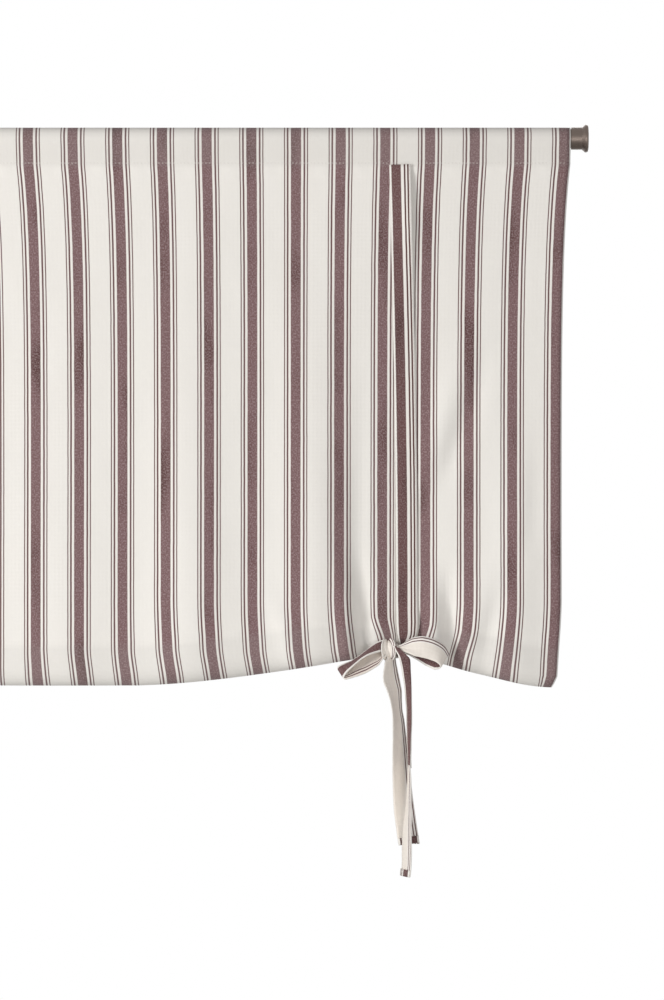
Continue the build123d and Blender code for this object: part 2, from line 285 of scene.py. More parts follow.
@dataclass(frozen=True)
class ClothFinish:
    """Plain weave cotton with ticking stripes, read from a UV map in metres.

    A stripe or line is its middle and half of its width. With repeats, both are measured from a dark
    stripe's middle; without, from the band's edge. Past pale_from the ground takes the pale colour.
    """

    name: str
    cream: Colour = (0.838, 0.806, 0.760)
    plum: Colour = (0.167, 0.088, 0.091)
    fleck: Colour = (0.46, 0.36, 0.36)
    period: float = 0.04566
    repeats: bool = True
    dark: tuple[float, float] = (0.0, 0.00535)
    dark_blur: float = 0.0003
    dark_cover: float = 0.98
    lines: tuple[tuple[float, float], ...] = ((0.00855, 0.00098), (0.01175, 0.00066))
    line_blur: float = 0.0002
    line_shade: float = 0.9
    wander: float = 0.0005
    wander_grain: Grain = Grain(55)
    pale_from: float = 0.5988
    pale: Colour = (0.86, 0.835, 0.80)
    deep_shade: Colour = (0.48, 0.32, 0.30)
    deep_grain: Grain = Grain(22, (1, 0.4, 1))
    deep_level: float = 0.52
    deep_gain: float = 6.0
    wear: float = 0.42
    wear_grain: Grain = Grain(760, (1, 0.75, 1), 4)
    wear_level: float = 0.45
    wear_gain: float = 5.0
    slub: float = 0.4
    slub_shade: float = 0.88
    slub_grain: Grain = Grain(1100, (1, 0.16, 1))
    slub_height: float = 1.2
    blotch: float = 0.18
    blotch_shade: Colour = (0.93, 0.9, 0.86)
    blotch_grain: Grain = Grain(26, (1, 0.45, 1), 3)
    # painted shade: where more cloth lies behind, the colour is darkened towards a dark cream, as if less
    # light came through
    backed: float = 0.0
    backed_shade: float = 0.4
    thread: float = 75.0
    thread_waver: float = 1.2
    roughness: float = 0.9
    specular: float = 0.18
    sheen: float = 0.08
    sheen_roughness: float = 0.6
    bump_strength: float = 0.22
    bump_distance: float = 0.00018

    def stripes(self, t: NodeTree, across: Socket) -> tuple[Socket, Socket]:
        """The print's masks.

        Args:
            t: the material's nodes.
            across: distance over the cloth's width.
        Returns:
            Masks of the dark stripe and of the thin lines.
        """
        if self.repeats:
            wrapped = t.add("ShaderNodeMath", operation="WRAP")
            t.link(across, wrapped.inputs[0])
            wrapped.inputs[1].default_value = self.period / 2
            wrapped.inputs[2].default_value = -self.period / 2
            across = t.math("ABSOLUTE", wrapped.outputs[0])
        dark = t.band(across, *self.dark, self.dark_blur)
        thin = t.band(across, *self.lines[0], self.line_blur)
        for line in self.lines[1:]:
            thin = t.math("MAXIMUM", thin, t.band(across, *line, self.line_blur))
        return dark, thin

    def dye(self, t: NodeTree, uv: Socket) -> Socket:
        """The dark stripe's colour: plum with deeper patches and pale flecks.

        Args:
            t: the material's nodes.
            uv: the flat place.
        Returns:
            The colour.
        """
        flecks = t.above(t.noise(self.wear_grain, uv), self.wear_level, self.wear_gain)
        deep = t.above(t.noise(self.deep_grain, uv), self.deep_level, self.deep_gain)
        plum = t.blend(deep, self.plum, shaded(self.plum, self.deep_shade))
        return t.blend(t.math("MULTIPLY", flecks, self.wear), plum, self.fleck)

    def ground(self, t: NodeTree, uv: Socket, slub: Socket) -> Socket:
        """The undyed cloth's colour.

        Args:
            t: the material's nodes.
            uv: the flat place.
            slub: thick and thin places of the thread.
        Returns:
            The colour.
        """
        blotch = t.noise(self.blotch_grain, uv)
        tint = t.blend(t.math("MULTIPLY", slub, self.slub), self.cream, shaded(self.cream, self.slub_shade))
        return t.blend(t.math("MULTIPLY", blotch, self.blotch), tint, shaded(self.cream, self.blotch_shade))

    def weave(self, t: NodeTree, uv: Socket, slub: Socket) -> None:
        """Raise the crossing threads.

        Args:
            t: the material's nodes.
            uv: the flat place.
            slub: thick and thin places of the thread.
        """
        waves = []
        for direction in ("X", "Y"):
            wave = t.add("ShaderNodeTexWave", wave_type="BANDS", bands_direction=direction)
            wave.inputs["Scale"].default_value = self.thread
            wave.inputs["Distortion"].default_value = self.thread_waver
            t.link(uv, wave.inputs["Vector"])
            waves.append(wave.outputs[1])
        slubs = t.math("MULTIPLY", slub, self.slub_height)
        threads = t.math("ADD", t.math("ADD", *waves), slubs)
        t.raise_bump(threads, self.bump_strength, self.bump_distance)

    def material(self) -> bpy.types.Material:
        """Build the cloth.

        Returns:
            The material.
        """
        t = NodeTree(self.name)
        uv = t.add("ShaderNodeUVMap", uv_map="flat").outputs[0]
        split = t.add("ShaderNodeSeparateXYZ")
        t.link(uv, split.inputs[0])
        across = split.outputs[0]
        wander = t.math("MULTIPLY", t.math("SUBTRACT", t.noise(self.wander_grain, uv), 0.5), self.wander)
        dark, thin = self.stripes(t, t.math("ADD", across, wander))
        slub = t.noise(self.slub_grain, uv)
        edge = t.math("GREATER_THAN", t.math("ABSOLUTE", across), self.pale_from)
        base = t.blend(edge, self.ground(t, uv, slub), self.pale)
        lined = t.blend(thin, base, shaded(self.plum, self.line_shade))
        colour = t.blend(t.math("MULTIPLY", dark, self.dark_cover), lined, self.dye(t, uv))
        # painted shade on the pocket and on the cloth over the roll, by the layer-shade mask
        if self.backed:
            painted_shade_share = t.add("ShaderNodeAttribute", attribute_name="backed").outputs["Fac"]
            shade = shaded(self.cream, self.backed_shade)
            colour = t.blend(t.math("MULTIPLY", painted_shade_share, self.backed), colour, shade)
        t.link(colour, t.shader.inputs["Base Color"])
        t.shader.inputs["Roughness"].default_value = self.roughness
        t.shader.inputs["Specular IOR Level"].default_value = self.specular
        t.shader.inputs["Sheen Weight"].default_value = self.sheen
        t.shader.inputs["Sheen Roughness"].default_value = self.sheen_roughness
        self.weave(t, uv, slub)
        return t.material


@dataclass(frozen=True)
class MetalFinish:
    """Dark nickel, brushed round the rod's axis."""

    name: str
    colour: Colour = (0.128, 0.102, 0.088)
    bright: float = 1.25
    roughness: float = 0.36
    smudges: float = 0.16
    smudge_grain: Grain = Grain(45, detail=3)
    brush_grain: Grain = Grain(90, (60, 1, 1), 4)
    bump_strength: float = 0.2
    bump_distance: float = 0.00005

    def material(self) -> bpy.types.Material:
        """Build the metal.

        Returns:
            The material.
        """
        t = NodeTree(self.name)
        where = t.add("ShaderNodeTexCoord").outputs["Object"]
        brush = t.noise(self.brush_grain, where)
        smudge = t.noise(self.smudge_grain, where)
        bright = shaded(self.colour, self.bright)
        t.link(t.blend(brush, self.colour, bright), t.shader.inputs["Base Color"])
        t.shader.inputs["Metallic"].default_value = 1.0
        rough = t.math("ADD", t.math("MULTIPLY", smudge, self.smudges), self.roughness - self.smudges / 2)
        t.link(rough, t.shader.inputs["Roughness"])
        t.raise_bump(brush, self.bump_strength, self.bump_distance)
        return t.material


@dataclass(frozen=True)
class ThreadFinish:
    """Twisted sewing thread."""

    name: str
    colour: Colour = (0.80, 0.76, 0.71)
    shade: float = 0.8
    ply: Grain = Grain(2500)
    roughness: float = 0.75

    def material(self) -> bpy.types.Material:
        """Build the thread.

        Returns:
            The material.
        """
        t = NodeTree(self.name)
        where = t.add("ShaderNodeTexCoord").outputs["Object"]
        ply = t.noise(self.ply, where)
        t.link(t.blend(ply, self.colour, shaded(self.colour, self.shade)), t.shader.inputs["Base Color"])
        t.shader.inputs["Roughness"].default_value = self.roughness
        return t.material


@dataclass(frozen=True)
class Fold:
    """A soft ridge (+) or hollow (-) in the cloth along a straight line, in pixels of the photograph."""

    low: tuple[float, float]
    high: tuple[float, float]
    half: float
    height: float
    overrun: float = 0.3

    def out(self, x: float, z: float) -> float:
        """How far it stands out.

        Args:
            x: millimetres from the middle, on the right half.
            z: millimetres above the rod's axis.
        Returns:
            Millimetres towards the room.
        """
        z_low, z_high = height_px(self.low[1]), height_px(self.high[1])
        along = (z - z_low) / (z_high - z_low)
        share = min(1 + self.overrun, max(-self.overrun, along))
        centre = mix(across_px(self.low[0]), across_px(self.high[0]), share)
        off = (x - centre) / (self.half * PIXEL)
        fade = smooth(1 + self.overrun / 2 - along)
        if self.low[1] < FREE_FOLDS_ABOVE:
            fade *= smooth(2 * along + 1)
        return self.height * fade * bell(off)


FOLDS = (
    Fold((60, 690), (58, 240), 40, 4.0),
    Fold((192, 690), (186, 230), 34, 6.0),
    Fold((316, 660), (312, 260), 30, 6.5),
    Fold((358, 600), (362, 360), 9, -3.0),
    Fold((514, 660), (520, 400), 20, 5.5),
    Fold((456, 450), (492, 340), 10, -3.6),
    Fold((432, 450), (470, 330), 12, 3.0),
    Fold((534, 520), (537, 430), 9, -1.4),
    Fold((484, 640), (532, 520), 10, -2.2),
    Fold((404, 650), (404, 330), 22, -4.0),
    Fold((349, 665), (340, 550), 8, 9.0),
    Fold((367, 665), (360, 545), 8, -8.0),
    Fold((376, 650), (371, 590), 6, 3.5),
    Fold((434, 655), (431, 560), 8, 9.0),
    Fold((451, 650), (449, 560), 8, -8.0),
    Fold((470, 660), (484, 560), 12, 6.0),
    Fold((300, 672), (270, 590), 8, 3.2),
)


@dataclass(frozen=True)
class Pinch:
    """A narrow strip of cloth beside a bow that is drawn sideways, in millimetres."""

    off: float
    half: float
    amount: float
    down: Ramp

    def out(self, off: float, z: float) -> float:
        """How far it draws the cloth away from the middle.

        Args:
            off: distance from the bow, + towards the side edge.
            z: height.
        Returns:
            Millimetres.
        """
        return self.amount * bell((off - self.off) / self.half) * self.down.at(-z)


PINCHES = (
    Pinch(-28, 16, 7.0, Ramp(486, 32)),
    Pinch(26, 14, -5.0, Ramp(494, 24)),
    Pinch(66, 24, -5.5, Ramp(500, 36)),
)


@dataclass(frozen=True)
class Ripple:
    """Unevenness of the cloth: its height in millimetres, its grains for each millimetre, and a seed."""

    height: float
    across: float
    down: float
    seed: float

    def out(self, x: float, z: float) -> float:
        """Millimetres towards the room at a point."""
        return self.height * noise.noise((x * self.across, z * self.down, self.seed))


RIPPLES = (Ripple(0.8, 0.018, 0.012, 3.7), Ripple(0.3, 0.06, 0.022, 5.2))
TUCK_RIPPLE = Ripple(1.0, 0.011, 0.0, 8.1)


@dataclass
class Cut:
    """Sizes of the panel's upright section, in millimetres."""

    half_height: float
    half_depth: float
    z_roll: float


@dataclass
class Drape:
    """How the cloth hangs, in millimetres: the same form as the solids, with its finer folds.

    A gather draws the low cloth sideways, + away from the middle. Its ramps say where: across from the bow or
    from the middle, and down from the rod's axis.
    """

    width: float = 1200.0
    drop: float = 560.6
    seam: float = 26.3
    pocket_radius: float = 10.75
    layer: float = 0.45
    roll_height: float = 42.0
    roll_depth: float = 38.0
    setback: float = 3.0
    arch_place: float = 424.0
    arch_lift: float = 32.6
    arch_reaches: tuple[float, float] = (255.0, 152.0)
    arch_round: float = 15.0
    arch_powers: tuple[float, float] = (1.5, 1.7)
    squeeze: float = 0.4
    squeeze_reach: float = 55.0
    corner_sag: float = 2.4
    sag_across: Ramp = Ramp(510.0, 60.0)
    pull_centre: float = 310.0
    pull_slopes: tuple[float, float] = (-0.0328, -0.005)
    pull_depth: float = 85.0
    bow_offset: float = 10.0
    to_bow: Ramp = Ramp(0.0, 60.0)
    broad_gather: float = 3.6
    broad_across: Ramp = Ramp(-320.0, 90.0)
    near_gather: float = 4.0
    near_place: float = -58.0
    near_half: float = 30.0
    outer_gather: float = -6.5
    outer_half: float = 45.0
    edge_gather: float = 2.2
    edge_across: Ramp = Ramp(540.0, 40.0)
    gather_down: Ramp = Ramp(470.0, 90.0)
    hem_gathers: tuple[float, float] = (3.4, -1.6)
    hem_across: tuple[Ramp, Ramp] = (Ramp(-424.0, 70.0), Ramp(0.0, 50.0))
    hem_down: Ramp = Ramp(520.0, 40.0)
    corner_gather: float = -5.5
    corner_across: Ramp = Ramp(575.0, 25.0)
    corner_down: Ramp = Ramp(545.0, 18.0)
    fold_down: float = 160.0
    ripple_rise: float = 6.0
    seam_puff: float = 1.1
    puff_down: float = 6.0
    puff_half: float = 3.5
    puff_wave: float = 0.33
    puff_change: float = 0.5
    tuck: float = 1.7
    tuck_up: float = 24.0
    tuck_half: float = 7.0
    tuck_share: float = 0.7

    def gather(self, away: float, off: float, z: float) -> float:
        """How far the low cloth is drawn sideways by the bow.

        Args:
            away: flat distance from the middle.
            off: distance from the bow, + towards the side edge.
            z: height.
        Returns:
            Millimetres away from the middle.
        """
        edge = self.edge_across.at(away)
        if off < 0:
            broad = self.broad_gather * self.broad_across.at(off) * self.to_bow.at(-off)
            drawn = broad + self.near_gather * bell((off - self.near_place) / self.near_half)
        else:
            drawn = self.outer_gather * (1 - bell(off / self.outer_half))
        drawn += self.edge_gather * edge
        hem = self.hem_gathers[0] * self.hem_across[0].at(off) * self.to_bow.at(-off)
        hem += self.hem_gathers[1] * self.hem_across[1].at(off) * (1 - edge)
        corner = self.corner_gather * self.corner_across.at(away) * self.corner_down.at(-z) ** 2
        pinch = sum(strip.out(off, z) for strip in PINCHES)
        return drawn * self.gather_down.at(-z) + pinch + hem * self.hem_down.at(-z) + corner

    def shift(self, u: float, z: float) -> float:
        """How far the cloth is drawn sideways.

        Args:
            u: flat place across the cloth.
            z: height.
        Returns:
            Millimetres to the right.
        """
        right, left = self.pull_slopes
        base = right * (u - self.pull_centre) if u > 0 else left * u - right * self.pull_centre
        base *= 1 - math.exp(min(0.0, z + self.seam) / self.pull_depth)
        side = 1 if u > 0 else -1
        return base + side * self.gather(abs(u), abs(u) - self.arch_place - self.bow_offset, z)

    def cut(self, x: float) -> Cut:
        """The section at x.

        Args:
            x: millimetres from the middle.
        Returns:
            Its sizes.
        """
        away = abs(x) - self.arch_place
        outer = int(away > 0)
        reach = self.arch_reaches[outer]
        fall = (math.hypot(away, self.arch_round) - self.arch_round) / reach
        size = 1 - self.squeeze * bell(away / self.squeeze_reach)
        half_height = self.roll_height / 2 * size
        z_roll = self.arch_lift * max(0.0, 1 - fall) ** self.arch_powers[outer] - self.drop + half_height
        z_roll -= self.corner_sag * self.sag_across.at(abs(x))
        return Cut(half_height, self.roll_depth / 2 * size, z_roll)

    def folds(self, x: float, z: float) -> float:
        """All the folds at a point.

        Args:
            x: millimetres from the middle.
            z: millimetres above the rod's axis.
        Returns:
            Millimetres towards the room.
        """
        started = smooth((-self.seam - z) / self.fold_down)
        return started * sum(fold.out(abs(x), z) for fold in FOLDS)

    def front(self, x: float, z: float, cut: Cut) -> float:
        """The hanging sheet's depth.

        Args:
            x: millimetres from the middle.
            z: height.
            cut: the section there.
        Returns:
            y in millimetres.
        """
        share = (-self.seam - z) / (-self.seam - cut.z_roll)
        base = mix(-self.layer, self.setback - cut.half_depth, smooth(share))
        ripple = sum(one.out(x, z) for one in RIPPLES) * smooth(share * self.ripple_rise)
        puff = self.seam_puff * bell((z + self.seam + self.puff_down) / self.puff_half)
        puff *= 1 + self.puff_change * math.sin(x * self.puff_wave)
        tuck = self.tuck * bell((z - cut.z_roll - self.tuck_up) / self.tuck_half)
        tuck *= self.tuck_share + TUCK_RIPPLE.out(x, 0.0)
        return base - self.folds(x, z) - ripple - puff + tuck

    def front_at(self, x: float, z: float) -> float:
        """The sheet's depth at a point seen from the front."""
        return self.front(x, z, self.cut(x))


@dataclass
class Grid:
    """A run of cloth: rows of places and of flat places, in metres, and the material's place.

    The layer-shade mask says, for each place, how far more cloth lies behind it; the cloth's material darkens
    those places as painted shade.
    """

    points: list[list[Vector]]
    flat: list[list[tuple[float, float]]]
    slot: int = 0
    backed: list[list[float]] | None = None


def new_sheet(name: str, grids: list[Grid]) -> bpy.types.Object:
    """Cloth grids as one object, with the flat places as a UV map.

    Args:
        name: the piece's name.
        grids: its runs of cloth.
    Returns:
        The object, linked to the scene.
    """
    vertices: list[Vector] = []
    flats: list[tuple[float, float]] = []
    faces: list[tuple[int, ...]] = []
    slots: list[int] = []
    for grid in grids:
        start, wide = len(vertices), len(grid.points[0])
        vertices += [p for row in grid.points for p in row]
        flats += [p for row in grid.flat for p in row]
        for r in range(len(grid.points) - 1):
            for c in range(wide - 1):
                a = start + r * wide + c
                faces.append((a, a + wide, a + wide + 1, a + 1))
                slots.append(grid.slot)
    mesh = bpy.data.meshes.new(name)
    mesh.from_pydata(vertices, [], faces)
    layer = mesh.uv_layers.new(name="flat")
    for loop in mesh.loops:
        layer.data[loop.index].uv = flats[loop.vertex_index]
    mesh.polygons.foreach_set("use_smooth", [True] * len(mesh.polygons))
    mesh.polygons.foreach_set("material_index", slots)
    # the mask for the painted shade where more cloth lies behind
    if grids[0].backed:
        painted_shade_share = mesh.attributes.new("backed", "FLOAT", "POINT")
        painted_shade_share.data.foreach_set("value", [value for row in grids[0].backed for value in row])
    mesh.update()
    obj = bpy.data.objects.new(name, mesh)
    bpy.context.scene.collection.objects.link(obj)
    return obj


def thicken(obj: bpy.types.Object, thickness: float, reverse_slot: int = 0) -> None:
    """Give a sheet its thickness.

    Args:
        obj: the sheet.
        thickness: in metres.
        reverse_slot: step to the material of its reverse.
    """
    solid = obj.modifiers.new("thickness", "SOLIDIFY")
    solid.thickness = thickness
    solid.offset = 0
    solid.material_offset = reverse_slot
    bpy.ops.object.select_all(action="DESELECT")
    obj.select_set(True)
    bpy.context.view_layer.objects.active = obj
    bpy.ops.object.modifier_apply(modifier=solid.name)


@dataclass
class CurtainPanel:
    """The sewn cloth: pocket, hanging sheet, side hems and the roll."""

    drape: Drape
    columns: int = 214
    pocket_rows: int = 24
    sheet_rows: int = 82
    turns: float = 5.0
    turn_rows: int = 15
    pitch: float = 2.8
    row_ease: float = 0.35
    straight_share: float = 0.27
    # how far the painted shade fades in where the sheet meets the roll, in millimetres
    backed_reach: float = 8.0
    loose: float = 0.012
    loose_across: float = 0.021
    loose_along: float = 5.1
    loose_from: float = 0.6
    hem: float = 12.0
    hem_fold: float = 0.4
    hem_step: float = 0.95
    cloth: float = 0.7

    def path(self, u: float) -> list[tuple[float, float, float, float, float]]:
        """The cloth's run from the pocket's back, over the rod, down the front and into the roll.

        Args:
            u: flat place across the cloth.
        Returns:
            Rows of (x, y, z, run, share of painted shade).
        """
        d = self.drape
        rows: list[tuple[float, float, float]] = []
        backed = [1.0] * (self.pocket_rows + 1)
        reach = math.acos(d.pocket_radius / d.seam)
        for k in range(self.pocket_rows + 1):
            share = k / self.pocket_rows
            rows.append((u, *self.pocket_point(share, reach)))
        x_low = u + d.shift(u, -d.drop)
        cut = d.cut(x_low)
        for k in range(1, self.sheet_rows + 1):
            share = k / self.sheet_rows
            share = mix(share, smooth(share), self.row_ease)
            z = mix(-d.seam, cut.z_roll, share)
            x = u + d.shift(u, z)
            rows.append((x, d.front(x, z, cut), z))
            # painted shade grows where the sheet comes down onto the roll
            backed.append(smooth((cut.z_roll + cut.half_height - z) / self.backed_reach + 0.5))
        y_centre = rows[-1][1] + cut.half_depth
        for k in range(1, round(self.turns * self.turn_rows) + 1):
            turn = k / self.turn_rows
            angle = math.pi * (1 + 2 * turn)
            size = 1 - self.pitch * turn / (d.roll_depth / 2)
            if turn > self.loose_from:
                size *= 1 + self.loose * math.sin(self.loose_along * turn + u * self.loose_across)
            z = cut.z_roll + cut.half_height * size * math.sin(angle)
            y = y_centre + cut.half_depth * size * math.cos(angle)
            rows.append((u + d.shift(u, min(z, cut.z_roll)), y, z))
            backed.append(1.0)
        runs = [0.0]
        for before, after in zip(rows, rows[1:]):
            runs.append(runs[-1] + math.dist(before[1:], after[1:]))
        return [(*row, run, painted_shade_share) for row, run, painted_shade_share in zip(rows, runs, backed)]

    def pocket_point(self, share: float, reach: float) -> tuple[float, float]:
        """A point of the pocket's loop.

        Args:
            share: 0 at the back seam and 1 at the front seam.
            reach: angle from straight down to where the cloth meets the rod.
        Returns:
            (y, z) in millimetres.
        """
        d = self.drape
        straight = self.straight_share
        side = 1 if share < 0.5 else -1
        part = min(share, 1 - share)
        if part < straight:
            t = part / straight
            y_touch, z_touch = d.pocket_radius * math.sin(reach), -d.pocket_radius * math.cos(reach)
            return side * mix(d.layer, y_touch, t), mix(-d.seam, z_touch, t)
        t = (part - straight) / (0.5 - straight)
        angle = mix(reach, math.pi, t)
        return side * d.pocket_radius * math.sin(angle), -d.pocket_radius * math.cos(angle)

    def build(self) -> bpy.types.Object:
        """Make the mesh.

        Returns:
            The cloth panel.
        """
        half = self.drape.width / 2
        places = [mix(-half, half, k / self.columns) for k in range(self.columns + 1)]
        columns = [self.path(u) for u in places]
        hems = [self.hem_columns(columns[0], 1), self.hem_columns(columns[-1], -1)]
        ordered = [*reversed(hems[0]), *columns, *hems[1]]
        flats = [-half - self.hem, -half - self.hem / 2, *places, half + self.hem / 2, half + self.hem]
        count = len(columns[0])
        points = [[Vector(col[r][:3]) * MM for col in ordered] for r in range(count)]
        flat = [[(u * MM, -col[r][3] * MM) for u, col in zip(flats, ordered)] for r in range(count)]
        backed = [[col[r][4] for col in ordered] for r in range(count)]
        obj = new_sheet("cloth_panel", [Grid(points, flat, 0, backed)])
        thicken(obj, self.cloth * MM)
        return obj

    def hem_columns(self, edge: list[tuple[float, ...]], side: int) -> list[list[tuple[float, ...]]]:
        """The turned-in side hem, behind the cloth's edge.

        Args:
            edge: the edge's column.
            side: direction to the middle.
        Returns:
            Two columns, the nearer first.
        """
        near, far = [], []
        for k, (x, y, z, run, backed) in enumerate(edge):
            before, after = edge[max(k - 1, 0)], edge[min(k + 1, len(edge) - 1)]
            dy, dz = after[1] - before[1], after[2] - before[2]
            size = math.hypot(dy, dz) or 1.0
            y_in, z_in = y - dz / size * self.hem_step, z + dy / size * self.hem_step
            near.append((x + side * self.hem_fold, y_in, z_in, run, backed))
            far.append((x + side * self.hem, y_in, z_in, run, backed))
        return [near, far]

    def dress(self, obj: bpy.types.Object, finish: ClothFinish) -> None:
        """Give the cloth its finish and say what it is.

        Args:
            obj: the cloth panel.
            finish: its cloth.
        """
        obj.data.materials.append(finish.material())
        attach(obj, "curtain")
        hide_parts("curtain_panel")
        length = self.path(0.0)[-1][3] * MM
        LOG.info("cloth panel: %d faces, %.3f m long flat", len(obj.data.polygons), length)


# a band's place, the way across, the way out, its width and fold, and the run to it
Frame = tuple[Vector, Vector, Vector, Vector, float]


@dataclass
class Row:
    """A place on a band's run: its middle, the way across, its width, and its fold in degrees."""

    place: Place
    across: Place
    width: float
    fold: float = 0.0


@dataclass
class Band:
    """A flat cloth band along a smooth run of rows.

    A sheared band keeps each row's way across as it is given. Flip shows the reverse to the room, and
    print_turned swaps the print's two edges. A band drawn narrower than its flat width ruffles.
    """

    rows: list[Row]
    step: float = 3.0
    least_cuts: int = 4
    columns: int = 10
    cup: float = 0.0
    flip: bool = False
    start: float = 0.0
    flat_width: float = 22.0
    sheared: bool = False
    ruffle: float = 1.2
    ruffle_waves: float = 9.0
    drift: float = 0.05
    crease: float = 0.12
    crease_along: float = 0.21
    crease_across: float = 2.0
    crease_fade: float = 0.057
    cup_level: float = 0.33
    fold_gap: float = 1.1
    fold_sharp: float = 5.0
    print_turned: bool = False
    slot: int = 0

    def hermite(self, values: list[Vector], i: int, t: float, knots: list[float]) -> Vector:
        """A smooth curve through values.

        Args:
            values: what it runs through.
            i: the stretch.
            t: share of that stretch.
            knots: the values' places along the run.
        Returns:
            The value there.
        """

        def slope(j: int) -> Vector:
            """The curve's slope at value j."""
            low, high = max(j - 1, 0), min(j + 1, len(values) - 1)
            return (values[high] - values[low]) / (knots[high] - knots[low])

        span = knots[i + 1] - knots[i]
        a, b = values[i], values[i + 1]
        h1, h2 = 2 * t**3 - 3 * t**2 + 1, t**3 - 2 * t**2 + t
        h3, h4 = -2 * t**3 + 3 * t**2, t**3 - t**2
        return a * h1 + slope(i) * (span * h2) + b * h3 + slope(i + 1) * (span * h4)

    def frames(self) -> list[Frame]:
        """Even cuts along the run.

        Returns:
            (place, across, out, width and fold, run) for each cut.
        """
        places = [Vector(r.place) for r in self.rows]
        acrosses = [Vector(r.across).normalized() for r in self.rows]
        widths = [Vector((r.width, r.fold, 0)) for r in self.rows]
        knots = [0.0]
        for before, after in zip(places, places[1:]):
            knots.append(knots[-1] + (after - before).length)
        count = max(self.least_cuts, math.ceil(knots[-1] / self.step))
        cuts = []
        for k in range(count + 1):
            run = knots[-1] * k / count
            i = max(j for j in range(len(places) - 1) if knots[j] <= run + 1e-9)
            t = (run - knots[i]) / (knots[i + 1] - knots[i])
            across = acrosses[i].lerp(acrosses[i + 1], t)
            cuts.append((self.hermite(places, i, t, knots), across, widths[i].lerp(widths[i + 1], t), run))
        framed = []
        for k, (place, across, width, run) in enumerate(cuts):
            ahead = (cuts[min(k + 1, count)][0] - cuts[max(k - 1, 0)][0]).normalized()
            if not self.sheared:
                across = (across - ahead * across.dot(ahead)).normalized()
            framed.append((place, across, ahead.cross(across).normalized(), width, run))
        return framed

    def point(self, cut: Frame, share: float) -> Vector:
        """A point of the band.

        Args:
            cut: one of its frames.
            share: from -1 at one edge to 1 at the other.
        Returns:
            The place in millimetres.
        """
        place, across, out, size, run = cut
        tight = max(0.0, 1 - size.x / self.flat_width)
        ruffle = tight * self.ruffle * math.sin(share * self.ruffle_waves + run * self.drift)
        crease = self.crease * math.sin(run * self.crease_along + share * self.crease_across)
        crease *= math.sin(run * self.crease_fade)
        bend = math.radians(size.y)
        turned = max(0.0, share) * size.x / 2
        sideways = min(0.0, share) * size.x / 2 + turned * math.cos(bend)
        under = turned * math.sin(bend) + self.fold_gap * smooth(share * self.fold_sharp) * bend / math.pi
        outwards = self.cup * (share * share - self.cup_level) + ruffle + crease - under
        return place + across * sideways + out * outwards

    def grid(self, mirror: int) -> Grid:
        """The band as rows of places and flat places, in metres.

        Args:
            mirror: -1 for the left bow.
        Returns:
            The band's grid.
        """
        points, flat = [], []
        shares = [mix(-1, 1, k / self.columns) for k in range(self.columns + 1)]
        if (mirror < 0) != self.flip:
            shares.reverse()
        turn = -1 if self.print_turned else 1
        across = [(turn * s + 1) / 2 * self.flat_width * MM for s in shares]
        for cut in self.frames():
            row = [self.point(cut, s) for s in shares]
            points.append([Vector((p.x * mirror, p.y, p.z)) * MM for p in row])
            flat.append([(u, (self.start + cut[4]) * MM) for u in across])
        return Grid(points, flat, self.slot)


